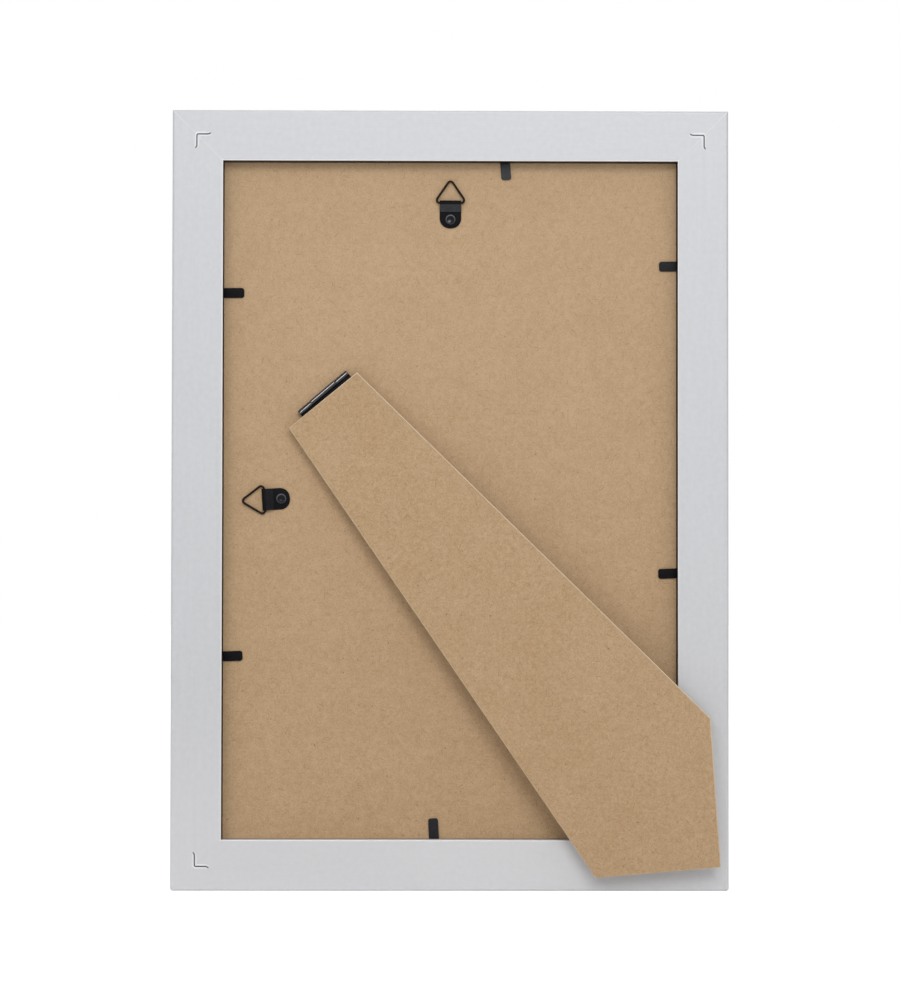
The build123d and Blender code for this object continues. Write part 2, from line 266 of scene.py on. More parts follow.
def new_finish(name, **constants):
    """Material with one main shader. Gives the material, the shader and the Object coordinates."""
    finish = bpy.data.materials.new(name)
    finish.use_nodes = True
    shader = finish.node_tree.nodes["Principled BSDF"]
    for key, value in constants.items():
        shader.inputs[key.replace("_", " ")].default_value = value
    places = finish.node_tree.nodes.new("ShaderNodeTexCoord")
    return finish, shader, Tone(places.outputs["Object"])


def feed(shader, **tones):
    """Link values that vary over the surface to the main shader."""
    for key, tone in tones.items():
        tone.tree.links.new(tone.socket, shader.inputs[key.replace("_", " ")])


print("socket class ready")

# %% [markdown]
# ## Brown fibreboard
#
# The board and the strut are thin wood fibreboard: pressed fibres with a fine grain, soft mottling,
# some lighter and darker strands and a few brown specks of bark. A photo of real board would be the
# short way, but it repeats and can't be resized. Here noises at three sizes are added. Strands come
# from cells: each cell of a Voronoi pattern holds one short line at its own random angle. The back
# board is painted a shade paler towards its upper end, as painted light from above. The strut's
# sawn edges are paler, and palest where they face the lamp, which is a painted highlight.

# %% Strands and specks
strand_curve = 0.2
luck_edge = 0.02
speck_edge = 0.12 * mm
flat_cells = {"voronoi_dimensions": "2D", "feature": "F1"}


def strands(place, cell, length, width, share):
    """Short strands, one in a share of the cells: 1 on a bent line of that length and width."""
    sockets = {"Vector": place, "Scale": 1 / cell}
    middle = place.node("TexVoronoi", flat_cells, sockets, "Position")
    chance = place.node("TexVoronoi", flat_cells, sockets, "Color")
    angle = place.node("SeparateColor", {}, {0: chance}, 0) * (2 * np.pi)
    luck = place.node("SeparateColor", {}, {0: chance}, 1)
    offset = place.node("VectorMath", {"operation": "SUBTRACT"}, {0: place, 1: middle})
    about_z = {"rotation_type": "Z_AXIS"}
    turned = place.node("VectorRotate", about_z, {"Vector": offset, "Angle": angle})
    along = place.node("SeparateXYZ", {}, {0: turned}, 0)
    across = place.node("SeparateXYZ", {}, {0: turned}, 1)
    bent = across + along * along * (strand_curve / length)
    on_length = place.math("ABSOLUTE", along, 0.0).step(length / 2, length / 4)
    on_width = place.math("ABSOLUTE", bent, 0.0).step(width, width / 4)
    return on_length * on_width * luck.step(1 - share, 1 - share + luck_edge)


def specks(place, cell, radius, share):
    """Round specks, one in a share of the cells: 1 nearer to the cell's point than its own size."""
    sockets = {"Vector": place, "Scale": 1 / cell}
    distance = place.node("TexVoronoi", flat_cells, sockets, "Distance") * cell
    chance = place.node("TexVoronoi", flat_cells, sockets, "Color")
    luck = place.node("SeparateColor", {}, {0: chance}, 0)
    size = place.node("SeparateColor", {}, {0: chance}, 1) * (0.7 * radius) + 0.3 * radius
    inside = (distance - size).step(speck_edge, -speck_edge)
    return inside * luck.step(1 - share, 1 - share + luck_edge)


print("strands and specks ready")

# %% Fibreboard finish
pattern_shift = (0.31, 0.17, 0.0)


def fibreboard(name, cut_edges):
    """Ground from three noises, then strands and specks over it, then the painted paler upper end
    or the cut edges.
    """
    finish, shader, place = new_finish(name, Roughness=0.8, Specular_IOR_Level=0.25)
    across, upward = [place.node("SeparateXYZ", {}, {0: place}, axis) for axis in (0, 2)]
    flat = place.node("CombineXYZ", {}, {0: across, 1: upward, 2: 0.0})
    shifted = place.node("VectorMath", {"operation": "ADD"}, {0: flat, 1: pattern_shift})
    clouds = place.noise(45, 3.0)
    mottle = place.noise(420, 3.0)
    grain = place.noise(1500, 2.0)
    level = 0.5 + (clouds - 0.5) * 0.2 + (mottle - 0.5) * 0.4 + (grain - 0.5) * 0.7
    ground = level.step(0.0, 1.0).blend(srgb(171, 138, 99), srgb(204, 175, 141))
    dark_strand = strands(flat, 2.0 * mm, 1.5 * mm, 0.16 * mm, 0.7)
    pale_strand = strands(shifted, 1.8 * mm, 1.4 * mm, 0.16 * mm, 0.7)
    long_strand = strands(shifted, 7.0 * mm, 3.6 * mm, 0.2 * mm, 0.4)
    speck = specks(shifted, 6.5 * mm, 0.36 * mm, 0.16)
    colour = (dark_strand * 0.36).blend(ground, srgb(128, 96, 64))
    colour = (pale_strand * 0.24).blend(colour, srgb(224, 200, 168))
    colour = (long_strand * 0.36).blend(colour, srgb(118, 84, 54))
    colour = (speck * 0.5).blend(colour, srgb(92, 64, 43))
    if cut_edges:
        # Cut edges: paler sawn fibre, plus a painted highlight on the edges that face the lamp.
        cut_edge_and_highlight = place.node("Attribute", {"attribute_name": "cut_edge_and_highlight"}, {}, "Fac")
        colour = (cut_edge_and_highlight * 0.85).blend(colour, srgb(236, 216, 188))
    else:
        # Painted light: the board is painted a shade paler towards its upper end, nearer the lamp.
        painted_light_upward = upward.step(30 * mm, 330 * mm)
        colour = (painted_light_upward * 0.13).blend(colour, srgb(226, 197, 164))
    height = grain * 0.6 + mottle * 0.6 + pale_strand * 0.5 - dark_strand * 0.5
    feed(shader, Base_Color=colour, Normal=height.bump(0.06 * mm, 0.6))
    return finish


board_finish = fibreboard("brown_fibreboard", cut_edges=False)
strut_finish = fibreboard("brown_fibreboard_cut", cut_edges=True)
print("fibreboard", len(board_finish.node_tree.nodes), "nodes")

# %% [markdown]
# ## Silver foil on the moulding
#
# The rails are wrapped in a thin satin foil, printed with fine streaks that run along each rail.
# The streaks have to turn the corner at every mitre, so they can't be read from one direction in
# space. Each rail carries its own map: the first number runs along the rail, the second round its
# profile. Long narrow noise on that map gives the streaks to colour, roughness and bump. A second
# map marks a painted highlight, a pale line on the inner arris and the upper mitres, and the rebate
# walls, painted dark: partly the bare wood core, partly painted shade, so the bottom wall, which
# faces the light, keeps its foil. The foil is also painted a shade paler towards the foot, as
# painted light.

# %% Silver finish
silver_finish, shader, place = new_finish(
    "satin_silver_foil", Metallic=0.2, Specular_IOR_Level=0.3
)
run = place.node("Attribute", {"attribute_name": "run"}, {}, "Vector")
hair = run.noise(1.0, 2.0, (45, 2600, 1))
brush = run.noise(1.0, 2.0, (16, 520, 1))
drift = run.noise(1.0, 2.0, (9, 30, 1))
mottle = run.noise(1.0, 3.0, (420, 420, 1))
lines = (hair - 0.5) * 0.4 + (brush - 0.5) * 0.2
patches = (drift - 0.5) * 0.3 + (mottle - 0.5) * 0.7
streak = 0.5 + lines + patches
silver = streak.step(0.0, 1.0).blend(srgb(197, 198, 201), srgb(208, 209, 212))
edge = place.node("Attribute", {"attribute_name": "edge"}, {}, "Vector")
painted_edge_highlight = edge.node("SeparateXYZ", {}, {0: edge}, 0)
painted_light_tone = edge.node("SeparateXYZ", {}, {0: edge}, 1)
# Painted light: the foil is painted a shade paler towards the foot.
painted_light_near_foot = place.node("SeparateXYZ", {}, {0: place}, 2).step(95 * mm, 15 * mm)
# Painted highlight: a pale line on the inner arris, the upper mitres and the puckers.
silver = (painted_edge_highlight * 0.8).blend(silver, srgb(240, 240, 242))
silver = (painted_light_near_foot * 0.22).blend(silver, srgb(240, 239, 240))
# Dark rebate walls: partly the bare wood core, partly painted shade; the bottom wall keeps its
# foil.
raw_wood_and_painted_shade = streak.step(0.2, 0.8).blend(srgb(29, 23, 19), srgb(40, 32, 26))
silver = painted_light_tone.blend(silver, raw_wood_and_painted_shade)
feed(
    shader,
    Base_Color=silver,
    Roughness=0.5 + (streak - 0.5) * 0.16,
    Normal=(hair + brush).bump(0.015 * mm, 0.3),
)
print("silver", len(silver_finish.node_tree.nodes), "nodes")

# %% [markdown]
# ## Dark steels
#
# Tabs and straps are black coated steel, the rings brownish black wire and the rivets a glossier
# black. The hinge is oiled dark steel with a clear gleam, and the corner nails are bare grey steel.
# All five are one recipe with other numbers: a dark colour with faint blotches, a roughness that
# wanders and a bump as fine as rolled sheet. A painted-highlight value makes the colour paler where
# a lamp would gleam on tabs, strap flaps and rivets.


# %% Steel finishes
def steel(name, dark, light, rough, gloss, metallic=0.0, bump=0.015, painted_light_tone=srgb(68, 69, 71)):
    """Sheet steel: colour between two tones and roughness about a middle, by two noises."""
    finish, shader, place = new_finish(name, Metallic=metallic, Specular_IOR_Level=gloss)
    blotch = place.noise(500, 3.0)
    grain = place.noise(3500, 2.0)
    painted_highlight = place.node("Attribute", {"attribute_name": "painted_highlight"}, {}, "Fac")
    colour = (blotch * 0.6 + grain * 0.4).step(0.25, 0.75).blend(dark, light)
    # Painted highlight: a paler colour where a lamp would gleam on tabs, flaps and rivets.
    colour = (painted_highlight * (0.6 + blotch * 0.6)).blend(colour, painted_light_tone)
    feed(
        shader,
        Base_Color=colour,
        Roughness=rough + (blotch - 0.5) * 0.4 * rough,
        Normal=(grain + blotch).bump(bump * mm, 0.3),
    )
    return finish


black_finish = steel("black_coated_steel", srgb(8, 8, 11), srgb(17, 17, 21), 0.45, 0.07)
wire_finish = steel("black_wire_steel", srgb(26, 15, 12), srgb(38, 24, 20), 0.35, 0.1)
# The rivets' painted highlight is a pale grey.
eyelet_finish = steel(
    "black_rivet_steel", srgb(9, 9, 12), srgb(20, 20, 24), 0.2, 0.15, painted_light_tone=srgb(128, 129, 134)
)
hinge_finish = steel("dark_hinge_steel", srgb(15, 14, 18), srgb(26, 26, 31), 0.1, 0.6, bump=0.003)
nail_finish = steel("grey_nail_steel", srgb(50, 49, 51), srgb(84, 83, 86), 0.5, 0.3, metallic=0.2)
steels = (black_finish, wire_finish, eyelet_finish, hinge_finish, nail_finish)
print("steels", [finish.name for finish in steels])

# %% [markdown]
# ## Glass and insert
#
# From the front one looks through a thin pane on a blank sheet of paper. Real glass has a faint
# green body and a clean gloss, and paper has a soft tooth. The glass uses the shader's own
# transmission, and the sheet gets two noises for its fibres.

# %% Glass and paper finishes
glass_finish, shader, place = new_finish(
    "clear_glass", Transmission_Weight=1.0, IOR=1.5, Specular_IOR_Level=1.0, Alpha=0.12
)
haze = place.noise(40, 2.0)
feed(
    shader,
    Base_Color=haze.step(0.3, 0.7).blend(srgb(240, 248, 244), srgb(248, 252, 250)),
    Roughness=haze * 0.03,
)
paper_finish, shader, place = new_finish("blank_paper", Specular_IOR_Level=0.2, Roughness=0.85)
tooth = place.noise(2200, 3.0)
cloud = place.noise(160, 2.0)
pulp = (tooth * 0.85 + cloud * 0.15).step(0.2, 0.8)
feed(
    shader,
    Base_Color=pulp.blend(srgb(232, 231, 226), srgb(245, 244, 240)),
    Normal=tooth.bump(0.02 * mm, 0.4),
)
print("glass and paper ready")

# %% [markdown]
# ## Solids that keep their shape
#
# The flat board, the round hinge pin and the hidden shanks of the tabs are right as they are. They
# only get the finishes from above, by assigning to their material slots.

# %% Finishes on the solids
kept_solids = {
    "back_board": board_finish,
    "hinge_pin": hinge_finish,
    "tab_shanks": black_finish,
}
for name, finish in kept_solids.items():
    frame["nodes"][name].material_slots[0].material = finish
print("dressed", list(kept_solids))

# %% [markdown]
# ## Curved outlines
#
# Most of this object is bent or rounded strip. Two helpers draw the lines for it. One rounds the
# corners of a closed outline and adds a point just beside each rounding, so that the shading of the
# flats stays flat. The other walks along a strip like a bending machine: straight run, bend, run.

# %% Rounded outlines and bent lines
corner_points = 7
shade_guard = 0.12
bend_step = 9


def rounded(corners, radii):
    """Closed outline with rounded corners. An arc blends the two tangent spokes by sines."""
    corners = np.array(corners, dtype=float)
    outline = []
    for corner, before, after, radius in zip(
        corners, np.roll(corners, 1, axis=0), np.roll(corners, -1, axis=0), radii
    ):
        to_before = (before - corner) / np.linalg.norm(before - corner)
        to_after = (after - corner) / np.linalg.norm(after - corner)
        half = np.arccos(to_before @ to_after) / 2
        bisector = (to_before + to_after) / np.linalg.norm(to_before + to_after)
        centre = corner + bisector * radius / np.sin(half)
        tangent = radius / np.tan(half)
        first = corner + to_before * tangent - centre
        last = corner + to_after * tangent - centre
        sweep = np.pi - 2 * half
        share = np.linspace(0, 1, corner_points)[:, None]
        arc = (np.sin((1 - share) * sweep) * first + np.sin(share * sweep) * last) / np.sin(sweep)
        outline.append(corner + to_before * (tangent + shade_guard))
        outline.extend(centre + arc)
        outline.append(corner + to_after * (tangent + shade_guard))
    return np.array(outline)


def bent_line(start, heading, steps, spacing=0.25):
    """Points and headings of a bent line. A step is (length,) or (radius, left turn in degrees)."""
    point = np.array(start, dtype=float)
    angle = np.radians(heading)
    points = []
    headings = []
    for step in steps:
        if len(step) == 1:
            share = np.linspace(0, 1, 2 + int(step[0] / spacing))
            angles = np.full(len(share), angle)
            run = point + share[:, None] * step[0] * np.array([np.cos(angle), np.sin(angle)])
        else:
            radius, turn = step[0], np.radians(step[1])
            hand = np.sign(turn)
            share = np.linspace(0, 1, 3 + int(abs(step[1]) / bend_step))
            angles = angle + share * turn
            centre = point + hand * radius * np.array([-np.sin(angle), np.cos(angle)])
            run = centre + hand * radius * np.stack([np.sin(angles), -np.cos(angles)], axis=-1)
        skip = 1 if points else 0
        points.extend(run[skip:])
        headings.extend(angles[skip:])
        point = run[-1]
        angle = angles[-1]
    return np.array(points), np.array(headings)


def bar_section(half_width, half_height, edge):
    """Rounded rectangle for each row: corner centres plus a quarter turn of the edge radius."""
    quarter = np.linspace(0, np.pi / 2, 5)
    turn = np.concatenate([quarter + corner * np.pi / 2 for corner in range(4)])
    middle = np.repeat(np.arange(4) * np.pi / 2 + np.pi / 4, len(quarter))
    across = np.sign(np.cos(middle)) * (half_width - edge) + np.cos(turn) * edge
    rise = np.sign(np.sin(middle)) * (half_height - edge) + np.sin(turn) * edge
    return across, rise


def carried(path, across_way, rise_way, across, rise):
    """Section carried along a path: path point plus across and rise along their two directions."""
    grid = path[:, None, :] + across[..., None] * across_way[:, None, :]
    return outward(grid + rise[..., None] * rise_way[:, None, :])


print("outline helpers ready")

# %% [markdown]
# ## Glass and insert in the frame
#
# The solids of glass, insert and board touch exactly. Two faces in one place flicker in a render,
# because the computer can't tell which is in front. So the pane and the sheet are drawn a hair
# thinner than their solids: each is a flat bar carried from the bottom of its box to the top.

# %% Pane and sheet
air_gap = 0.04


def flat_sheet(node, edge):
    """Rounded rectangle of a node's width and depth, less a gap, carried up the node's height."""
    low, high = node_box(node)
    half = (high - low) / 2
    across, rise = bar_section(half[0], half[1] - air_gap, edge)
    path = (low + high) / 2 + np.array([[-1.0], [1.0]]) * half[2] * up
    side_rows = np.stack([side, side])
    back_rows = np.stack([back, back])
    return carried(path, side_rows, back_rows, across[None, :], rise[None, :])


pane = flat_sheet("glass", 0.3)
sheet = flat_sheet("insert_sheet", 0.05)
make_piece("pane", [pane], glass_finish, "frame", ["glass"])
make_piece("sheet", [sheet], paper_finish, "frame", ["insert_sheet"])

# %% [markdown]
# ## The moulding
#
# A frame moulding is one profile, cut to length at 45 degrees. Extruding the profile in Blender and
# cutting its ends would work, but the point of a mitre is simple arithmetic: a point that lies so
# far from the outer edge ends that much earlier. Each end closes with a tiny bevel, because two
# rails in foil never meet in a perfect line, and the upper joints get a faint painted highlight
# line. The outer tips are rounded on an arc, more at the foot, where a frame is knocked.

# %% Profile of the moulding
lip_width = 5.0
lip_depth = 4.5
front_bevel = 4.0
front_bevel_drop = 1.6
arris_reach = 0.45
wall_margin = 0.1
seat_y = front_y + lip_depth
sight = rail_width + lip_width
moulding = rounded(
    [
        (front_y, 0),
        (back_y, 0),
        (back_y, rail_width),
        (seat_y, rail_width),
        (seat_y, sight),
        (front_y + front_bevel_drop, sight),
        (front_y, sight - front_bevel),
    ],
    [1.5, 1.1, 0.4, 0.15, 0.15, 0.6, 0.5],
)
depths, widths = moulding.T
near_arris = np.hypot(depths - back_y, widths - rail_width) < arris_reach
on_wall = (depths < back_y - arris_reach) & (depths > seat_y - wall_margin)
in_rebate = on_wall & (widths > rail_width - wall_margin)
around = np.cumsum(np.linalg.norm(np.diff(moulding, axis=0, prepend=moulding[-1:]), axis=1))
print("profile", len(moulding), "points, round it", round(around[-1], 1), "mm")

# %% Rails
middle_z = outer_height / 2
mitre_bevel = 0.05
mitre_highlight_strength = 0.3
mitre_rows = 5
knock_turn = np.linspace(0, np.pi / 4, 6)


def shrunk(outline, amount):
    """Outline moved inwards along the normal of its neighbours' chord."""
    chord = np.roll(outline, -1, axis=0) - np.roll(outline, 1, axis=0)
    normal = np.stack([-chord[:, 1], chord[:, 0]], axis=-1)
    return outline + amount * normal / np.linalg.norm(normal, axis=1, keepdims=True)


def rail(name, middle, along, inward, length, knocks, bare_wall_and_shade=1.0):
    """Mitred rail: a point q from the outer edge ends q before the corner, or on the tip's arc."""
    ends = []
    for sign, radius in zip((-1, 1), knocks):
        rows = []
        for step, angle in enumerate(knock_turn):
            inner = np.maximum(widths, radius * (1 - np.cos(angle)))
            outline = np.stack([depths, inner], axis=-1)
            rest = mitre_bevel * np.sqrt(2) * (len(knock_turn) - step)
            gap = np.maximum(radius * (1 - np.sin(angle)), inner + rest)
            rows.append((sign * (length / 2 - gap), outline))
        tip = shrunk(outline, mitre_bevel)
        rows.append((sign * (length / 2 - tip[:, 1]), tip))
        ends.append(rows)
    rows = ends[0][::-1] + ends[1]
    reach = np.stack([row[0] for row in rows])
    section = np.stack([row[1] for row in rows])
    grid = middle + reach[..., None] * along + section[..., 1:] * inward + section[..., :1] * back
    run = np.stack([reach * mm, np.broadcast_to(around * mm, reach.shape)], axis=-1)
    # Painted highlight along the upper mitres, and painted shade on the top and side rebate walls.
    at_mitre = np.arange(len(rows)) % (len(rows) - mitre_rows) < mitre_rows
    mitre_highlight = at_mitre[:, None] * mitre_highlight_strength * (1 - in_rebate) * (grid[..., 2] > middle_z)
    arris_and_mitre_highlight = np.maximum(near_arris, mitre_highlight)
    edge = np.stack([arris_and_mitre_highlight, np.broadcast_to(in_rebate * bare_wall_and_shade, reach.shape)], axis=-1)
    flipped = outward(grid)
    if flipped is not grid:
        run = run[:, ::-1]
        edge = edge[:, ::-1]
    maps = {"run": run.reshape(-1, 2), "edge": edge.reshape(-1, 2)}
    node = name.replace("foil", "rail")
    make_piece(name, [flipped], silver_finish, "frame", [node], maps=maps)


top_knock = 0.4
base_knock = 1.4
# The bottom wall faces the light, so it gets no painted shade.
rail("foil_bottom", np.zeros(3), side, up, outer_width, (base_knock, base_knock), bare_wall_and_shade=0.0)
rail("foil_top", up * outer_height, -side, -up, outer_width, (top_knock, top_knock))
foot_middle = up * middle_z - side * outer_width / 2
rail("foil_foot_side", foot_middle, -up, side, outer_height, (top_knock, base_knock))
hanger_middle = up * middle_z + side * outer_width / 2
rail("foil_hanger_side", hanger_middle, up, -side, outer_height, (base_knock, top_knock))

# %% [markdown]
# ## Corner nails and the puckered foil
#
# Each corner is held by a folded steel nail pressed in from behind. What shows is a thin dark angle
# with curled ends, and beside it the foil is pushed up a little. The nail is a flat bar carried
# along the folded line. Each pucker is a low ridge along the same line that dies out at its ends,
# painted paler as a painted highlight.

# %% Line of a nail
nail_inset = 10.8
nail_leg = 4.6
nail_thickness = 0.5
nail_depth = 7.0
nail_fold = 0.6
nail_curl_radius = 2.4
nail_curl_angle = 42.0
curl = np.radians(nail_curl_angle)
nail_start = (
    -nail_curl_radius * (1 - np.cos(curl)),
    nail_leg + nail_curl_radius * np.sin(curl),
)
curl_step = (nail_curl_radius, -nail_curl_angle)
leg_step = (nail_leg - nail_fold,)
nail_line, nail_heading = bent_line(
    nail_start, nail_curl_angle - 90, [curl_step, leg_step, (nail_fold, 90), leg_step, curl_step]
)
nail_left = np.stack([-np.sin(nail_heading), np.cos(nail_heading)], axis=-1)
print("nail line", len(nail_line), "points")

# %% Nails and puckers
nail_edge = 0.08
nail_proud = 0.04
pucker_width = 0.45
pucker_height = 0.16
pucker_highlight = 0.7
least_fade = 0.02
nail_share = np.linspace(0, 1, len(nail_line))
fade = np.sqrt(np.clip(4 * nail_share * (1 - nail_share), least_fade, 1))[:, None]
circle = np.linspace(0, 2 * np.pi, 12, endpoint=False)[None, :]
nails = []
puckers = []
corner_x = outer_width / 2 - nail_inset
corner_z = outer_height / 2 - nail_inset
for right, top, first in (
    (1, 1, -up),
    (-1, 1, side),
    (-1, -1, up),
    (1, -1, -side),
):
    corner = side * corner_x * right + up * (middle_z + corner_z * top) + back * back_y
    second = np.cross(back, first)
    line = corner + nail_line[:, :1] * first + nail_line[:, 1:] * second
    left = nail_left[:, :1] * first + nail_left[:, 1:] * second
    lift = np.broadcast_to(back, line.shape)
    across, rise = bar_section(nail_thickness / 2, nail_depth / 2, nail_edge)
    sunk = line - back * (nail_depth / 2 - nail_proud)
    nails.append(carried(sunk, left, lift, across[None, :], rise[None, :]))
    for hand in (-1, 1):
        ridge = line + hand * (nail_thickness / 2 + pucker_width) * left
        across = pucker_width * fade * np.cos(circle)
        rise = pucker_height * fade * np.sin(circle)
        puckers.append(carried(ridge, left, lift, across, rise))
make_piece("corner_nails", nails, nail_finish, "frame", ["v_nails"])
pucker_points = sum(grid.shape[0] * grid.shape[1] for grid in puckers)
# The puckers are painted paler: a painted highlight.
pucker_maps = {
    "run": np.zeros((pucker_points, 2)),
    "edge": np.tile([pucker_highlight, 0.0], (pucker_points, 1)),
}
make_piece("foil_puckers", puckers, silver_finish, "frame", maps=pucker_maps)

# %% [markdown]
# ## The strut
#
# The strut is a five-sided plate of the same board. A plain extrusion has razor edges that never
# catch light. Here the outline is taken from the solid, and rings of it step in over a rounded
# edge: each ring is the outline moved inwards by the edge radius less its cosine part. A value
# marks the edge for the finish: sawn edges are paler, and a painted highlight makes the upper
# ones, which face the lamp, palest.

# %% Outline of the strut
same_height = 0.01
strut_mesh = frame["nodes"]["strut"].data
places = node_points("strut")
normals = np.empty(len(strut_mesh.polygons) * 3)
strut_mesh.polygons.foreach_get("normal", normals)
areas = np.empty(len(strut_mesh.polygons))
strut_mesh.polygons.foreach_get("area", areas)
strut_up = normals.reshape(-1, 3)[np.argmax(areas)]
strut_up = strut_up * np.sign(strut_up[1])
heights = places @ strut_up
thickness = heights.max() - heights.min()
plan = places[heights > heights.max() - same_height]
spoke = plan - plan.mean(axis=0)
plan = plan[np.argsort(np.arctan2(spoke[:, 2], spoke[:, 0]))]
edge_way = np.roll(plan, -1, axis=0) - plan
edge_way = edge_way / np.linalg.norm(edge_way, axis=1, keepdims=True)
edge_in = np.cross(edge_way, strut_up)
edge_in = edge_in * np.sign(np.sum(edge_in * (plan.mean(axis=0) - plan), axis=1, keepdims=True))
edge_before = np.roll(edge_in, 1, axis=0)
corner_in = (edge_in + edge_before) / (1 + np.sum(edge_in * edge_before, axis=1, keepdims=True))
print("strut", len(plan), "corners, thickness", round(thickness, 2))

# %% Strut plate
edge_radius = 0.45
lamp_facing_way = np.array([-0.7, 0.0, 0.7])
least_pale = 0.45
quarter = np.linspace(0, np.pi / 2, 6)
sine_part = edge_radius * (1 - np.sin(quarter))
cosine_part = edge_radius * (1 - np.cos(quarter))
inset = np.concatenate([[2 * edge_radius], sine_part, cosine_part, [2 * edge_radius]])
drop = np.concatenate([[0], cosine_part, thickness - sine_part, [thickness]])
strut_grid = plan[None, :, :] + inset[:, None, None] * corner_in - drop[:, None, None] * strut_up
# Painted highlight: the edges that face the lamp are painted palest, the rest keep the sawn
# paleness.
sawn_pale_and_lit = least_pale + (1 - least_pale) * np.clip(-corner_in @ lamp_facing_way, 0, 1)
cut_edge_and_highlight = np.clip(2 - 2 * inset / edge_radius, 0, 1)[:, None] * sawn_pale_and_lit
make_piece(
    "strut_plate", [outward(strut_grid)], strut_finish, "strut", ["strut"],
    maps={"cut_edge_and_highlight": cut_edge_and_highlight.reshape(-1, 1)},
)

# %% [markdown]
# ## Bendable tabs
#
# The tabs are strips of soft steel, shot into the rebate and pressed down over the board. A press
# leaves them with a slight bow and round-nosed ends. The strip is a flat bar whose half width and
# half thickness change along its length: the nose follows a quarter circle, and so does the bend.

# %% Tabs
tab_nose = 1.1
tab_bow = 0.14
tab_edge = 0.09
nose_turn = np.linspace(0, np.pi / 2, 9)


def tab_blade(name):
    """Flat bar from bend to nose: half width and half thickness shrink by quarter circles."""
    place, axis, inward = turning_place(name)
    corners = node_points(name) - place
    reach = (corners @ inward).max()
    half_width = (corners @ axis).max()
    half_thickness = (corners @ back).max()
    run = np.concatenate([
        -half_thickness * np.cos(nose_turn[:-1]),
        np.linspace(0, reach - tab_nose, 16),
        reach - tab_nose + tab_nose * np.sin(nose_turn[1:]),
    ])
    root = np.clip(-run / half_thickness, 0, 0.98)
    nose = np.clip((run - reach + tab_nose) / tab_nose, 0, 1)
    thick = (half_thickness * np.sqrt(1 - root**2))[:, None]
    wide = (half_width - tab_nose * (1 - np.sqrt(1 - nose**2)))[:, None]
    across, rise = bar_section(wide, thick, np.minimum(tab_edge, 0.9 * thick))
    bow = tab_bow * np.sin(np.pi * np.clip(run / reach, 0, 1))
    path = place + run[:, None] * inward + bow[:, None] * back
    axis_rows = np.broadcast_to(axis, path.shape)
    back_rows = np.broadcast_to(back, path.shape)
    return carried(path, axis_rows, back_rows, across, rise)


# Painted highlight: the tabs that face the lamps are painted paler.
tab_highlight = {"tab_top": 1.0, "tab_bottom": 0.38, "tab_foot_side_upper": 0.33}
for node in frame["nodes"]:
    if node.startswith("tab_") and node != "tab_shanks":
        blade = tab_blade(node)
        painted_highlight = np.full((blade.shape[0] * blade.shape[1], 1), tab_highlight.get(node, 0.0))
        name = node.replace("tab", "blade")
        make_piece(name, [blade], black_finish, node, [node], maps={"painted_highlight": painted_highlight})

# %% [markdown]
# ## Hangers
#
# A hanger is a short strap folded over the bar of a triangle ring and held by a hollow rivet. The
# strap is one flat bar walked through its bends: straight base, most of a loop, then the flap. The
# ring is a round wire carried along a rounded triangle. The rivet is a profile turned about its own
# axis, with a rolled rim round a dish. The flap, the rim and one spot in the dish are painted
# paler, as painted highlights.

# %% Strap shape
bar_place = turning_place("top_ring")[0]
bar_height = bar_place[1] - board_y
strap_half_width = 4.8
strap_half_thickness = 0.25
strap_reach = 11.3
strap_nose = 4.4
strap_edge = 0.1
flap_reach = 3.9
fold_gap = 0.1
flap_sheen_start = 0.6
loop_radius = bar_height - strap_half_thickness
loop_bore = loop_radius - strap_half_thickness
fold_height = loop_bore - fold_gap
fold_distance = np.hypot(flap_reach, fold_height)
fold_turn = np.degrees(np.arcsin(loop_bore / fold_distance) + np.arctan2(fold_height, flap_reach))
flap_length = np.sqrt(fold_distance**2 - loop_bore**2)
strap_line, strap_heading = bent_line(
    (-strap_reach, strap_half_thickness - bar_height),
    0,
    [(strap_reach,), (loop_radius, 180 + fold_turn), (flap_length,)],
)
turned_back = strap_heading > 0
from_nose = 1 - (strap_line[:, 0] + strap_reach) / strap_nose
strap_in = np.where(turned_back, 0, np.clip(from_nose, 0, 0.999))
strap_wide = (strap_half_width - strap_nose * (1 - np.sqrt(1 - strap_in**2)))[:, None]
strap_across, strap_rise = bar_section(strap_wide, strap_half_thickness, strap_edge)
# Painted sheen on the flap, where it would reflect light.
on_flap = (strap_heading > np.radians(179 + fold_turn)) & (strap_line[:, 0] < -flap_sheen_start)
flap_painted_sheen = np.repeat(on_flap, strap_across.shape[1]).astype(float)
print("strap rows", len(strap_line), "flap slope", round(fold_turn, 1))

# %% Ring shape
ring_low, ring_high = node_box("hanger_top_ring")
wire_radius = (ring_high[1] - ring_low[1]) / 2
ring_corner = 1.3
ring_half_bar = (ring_high[0] - ring_low[0]) / 2 - wire_radius - ring_corner
ring_tip = ring_high[2] - bar_place[2] - wire_radius - ring_corner
leg = np.hypot(ring_tip - ring_corner, ring_half_bar)
base_turn = 180 - np.degrees(np.arctan2(ring_tip - ring_corner, ring_half_bar))
ring_line, ring_heading = bent_line(
    (0, -ring_half_bar),
    90,
    [
        (2 * ring_half_bar,),
        (ring_corner, -base_turn),
        (leg,),
        (ring_corner, 2 * base_turn - 360),
        (leg,),
        (ring_corner, -base_turn),
    ],
    spacing=1.0,
)
ring_line = ring_line[:-1]
ring_heading = ring_heading[:-1]
round_turn = np.linspace(0, 2 * np.pi, 28, endpoint=False)[None, :]
wire_across = wire_radius * np.cos(round_turn)
wire_rise = wire_radius * np.sin(round_turn)
print("ring rows", len(ring_line), "wire", round(2 * wire_radius, 2))

